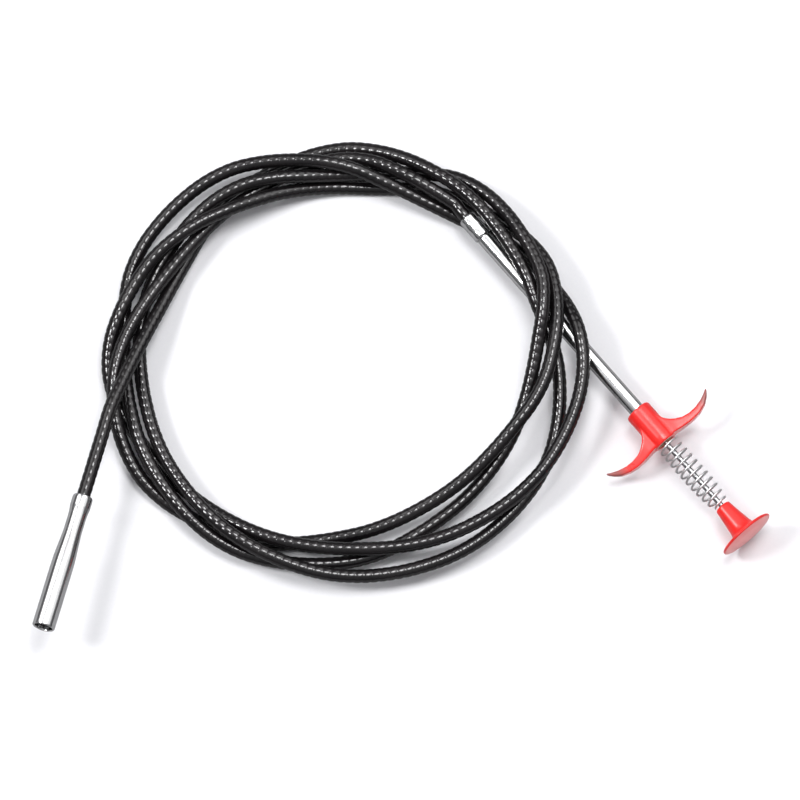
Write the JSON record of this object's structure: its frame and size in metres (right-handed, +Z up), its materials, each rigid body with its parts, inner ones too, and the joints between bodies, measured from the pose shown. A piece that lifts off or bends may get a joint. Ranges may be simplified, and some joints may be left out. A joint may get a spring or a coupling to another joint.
{
  "type": "drain auger",
  "caption": "Flexible claw drain snake in a coil: sprung thumb plunger and finger grip on a steel tube push a wire through a black sheath, so a claw opens at the nozzle.",
  "frame": {"origin": "on the floor under the middle of the coiled object's box", "axes": "+X towards the handle side, the longest extent; +Z up from the floor, the shortest extent"},
  "size_m": [0.3364, 0.24, 0.0358],
  "materials": {
    "red_plastic": "glossy injection moulded",
    "black_jacket": "satin, ribbed over the coil",
    "bright_steel": "bright plated",
    "spring_steel": "bright drawn wire",
    "coil_steel": "drawn wire",
    "brass": "turned"
  },
  "bodies": {
    "handle_and_cable": {"handle_tube": "bright_steel", "handle_ferrule": "bright_steel", "rod_guide": "brass", "finger_grip": "red_plastic", "return_spring": "spring_steel", "sheath_jacket": "black_jacket", "sheath_coil": "coil_steel", "inner_wire": "coil_steel", "nozzle_tube": "bright_steel"},
    "plunger": {"plunger_cap": "red_plastic", "push_rod": "bright_steel", "wire_clamp": "brass", "rod_wire": "coil_steel"},
    "claw": {"claw_ferrule": "bright_steel", "claw_wire": "coil_steel"},
    "finger_1": {"claw_finger_1": "spring_steel"},
    "finger_2": {"claw_finger_2": "spring_steel"},
    "finger_3": {"claw_finger_3": "spring_steel"},
    "finger_4": {"claw_finger_4": "spring_steel"}
  },
  "joints": [
    {"name": "plunger_slide", "type": "slide", "parent": "handle_and_cable", "child": "plunger", "axis": [-0.6448, 0.7644, -0.0035], "range_m": [0, 0.026], "stiffness_N_per_m": 250, "springref_m": -0.008, "deforming": ["return_spring"]},
    {"name": "claw_slide", "type": "slide", "parent": "handle_and_cable", "child": "claw", "axis": [-0.2683, -0.9608, 0.0698], "range_m": [0, 0.026]},
    {"name": "finger_1_spread", "type": "hinge", "parent": "claw", "child": "finger_1", "pos_m": [-0.15532, -0.09318, 0.02957], "axis": [-0.6678, 0.2377, 0.7054], "range_deg": [0, 17.5]},
    {"name": "finger_2_spread", "type": "hinge", "parent": "claw", "child": "finger_2", "pos_m": [-0.15695, -0.09273, 0.02957], "axis": [-0.6943, 0.1426, -0.7054], "range_deg": [0, 17.5]},
    {"name": "finger_3_spread", "type": "hinge", "parent": "claw", "child": "finger_3", "pos_m": [-0.15699, -0.09284, 0.02787], "axis": [0.6678, -0.2377, -0.7054], "range_deg": [0, 17.5]},
    {"name": "finger_4_spread", "type": "hinge", "parent": "claw", "child": "finger_4", "pos_m": [-0.15535, -0.0933, 0.02787], "axis": [0.6943, -0.1426, 0.7054], "range_deg": [0, 17.5]}
  ],
  "couplings": [
    {"joint": "claw_slide", "follows": "plunger_slide", "ratio": 1},
    {"joint": "finger_1_spread", "follows": "plunger_slide", "rad_per_m": 11.412},
    {"joint": "finger_2_spread", "follows": "plunger_slide", "rad_per_m": 11.412},
    {"joint": "finger_3_spread", "follows": "plunger_slide", "rad_per_m": 11.412},
    {"joint": "finger_4_spread", "follows": "plunger_slide", "rad_per_m": 11.412}
  ]
}
